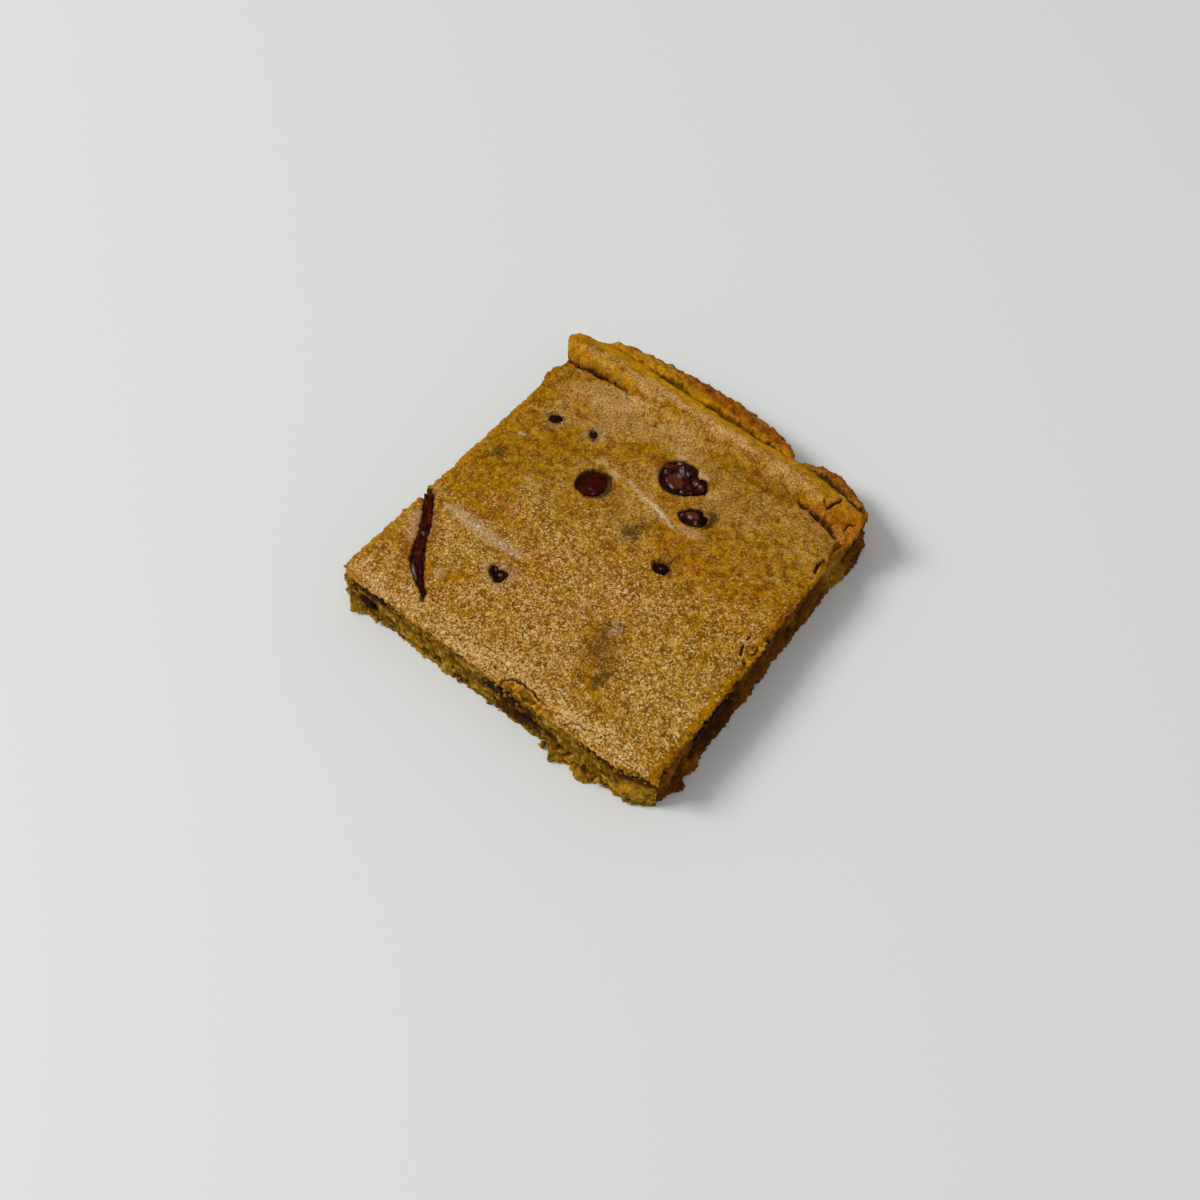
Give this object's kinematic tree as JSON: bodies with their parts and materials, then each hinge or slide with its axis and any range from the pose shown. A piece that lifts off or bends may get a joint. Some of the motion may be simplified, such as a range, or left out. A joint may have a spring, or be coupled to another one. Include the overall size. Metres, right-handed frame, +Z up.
{
  "type": "blondie",
  "caption": "Flat square of tray-baked blondie with a rolled, browned pan edge, three knife-cut crumb sides and chocolate chips in crust and crumb.",
  "frame": {"origin": "centre of the bounding box, on the flat base", "axes": "+Z up, +X along the pan edge, +Y towards the browned pan edge; the front cut faces -Y"},
  "size_m": [0.0972, 0.1074, 0.0144],
  "materials": {
    "crust_and_crumb": "dry, finely mottled amber crust over a moist olive-gold crumb",
    "chocolate": "dark, half-melted and unevenly glossy"
  },
  "bodies": {
    "root": {"cake": "crust_and_crumb", "chip_large": "chocolate", "chip_round": "chocolate", "chip_beside": "chocolate", "chip_pit": "chocolate", "chip_front": "chocolate", "chip_left": "chocolate", "chip_small": "chocolate", "cut_chip_left": "chocolate", "cut_chip_left_low": "chocolate", "cut_chip_middle": "chocolate", "cut_chip_base": "chocolate", "cut_chip_side": "chocolate", "chocolate_shard": "chocolate"}
  },
  "joints": []
}
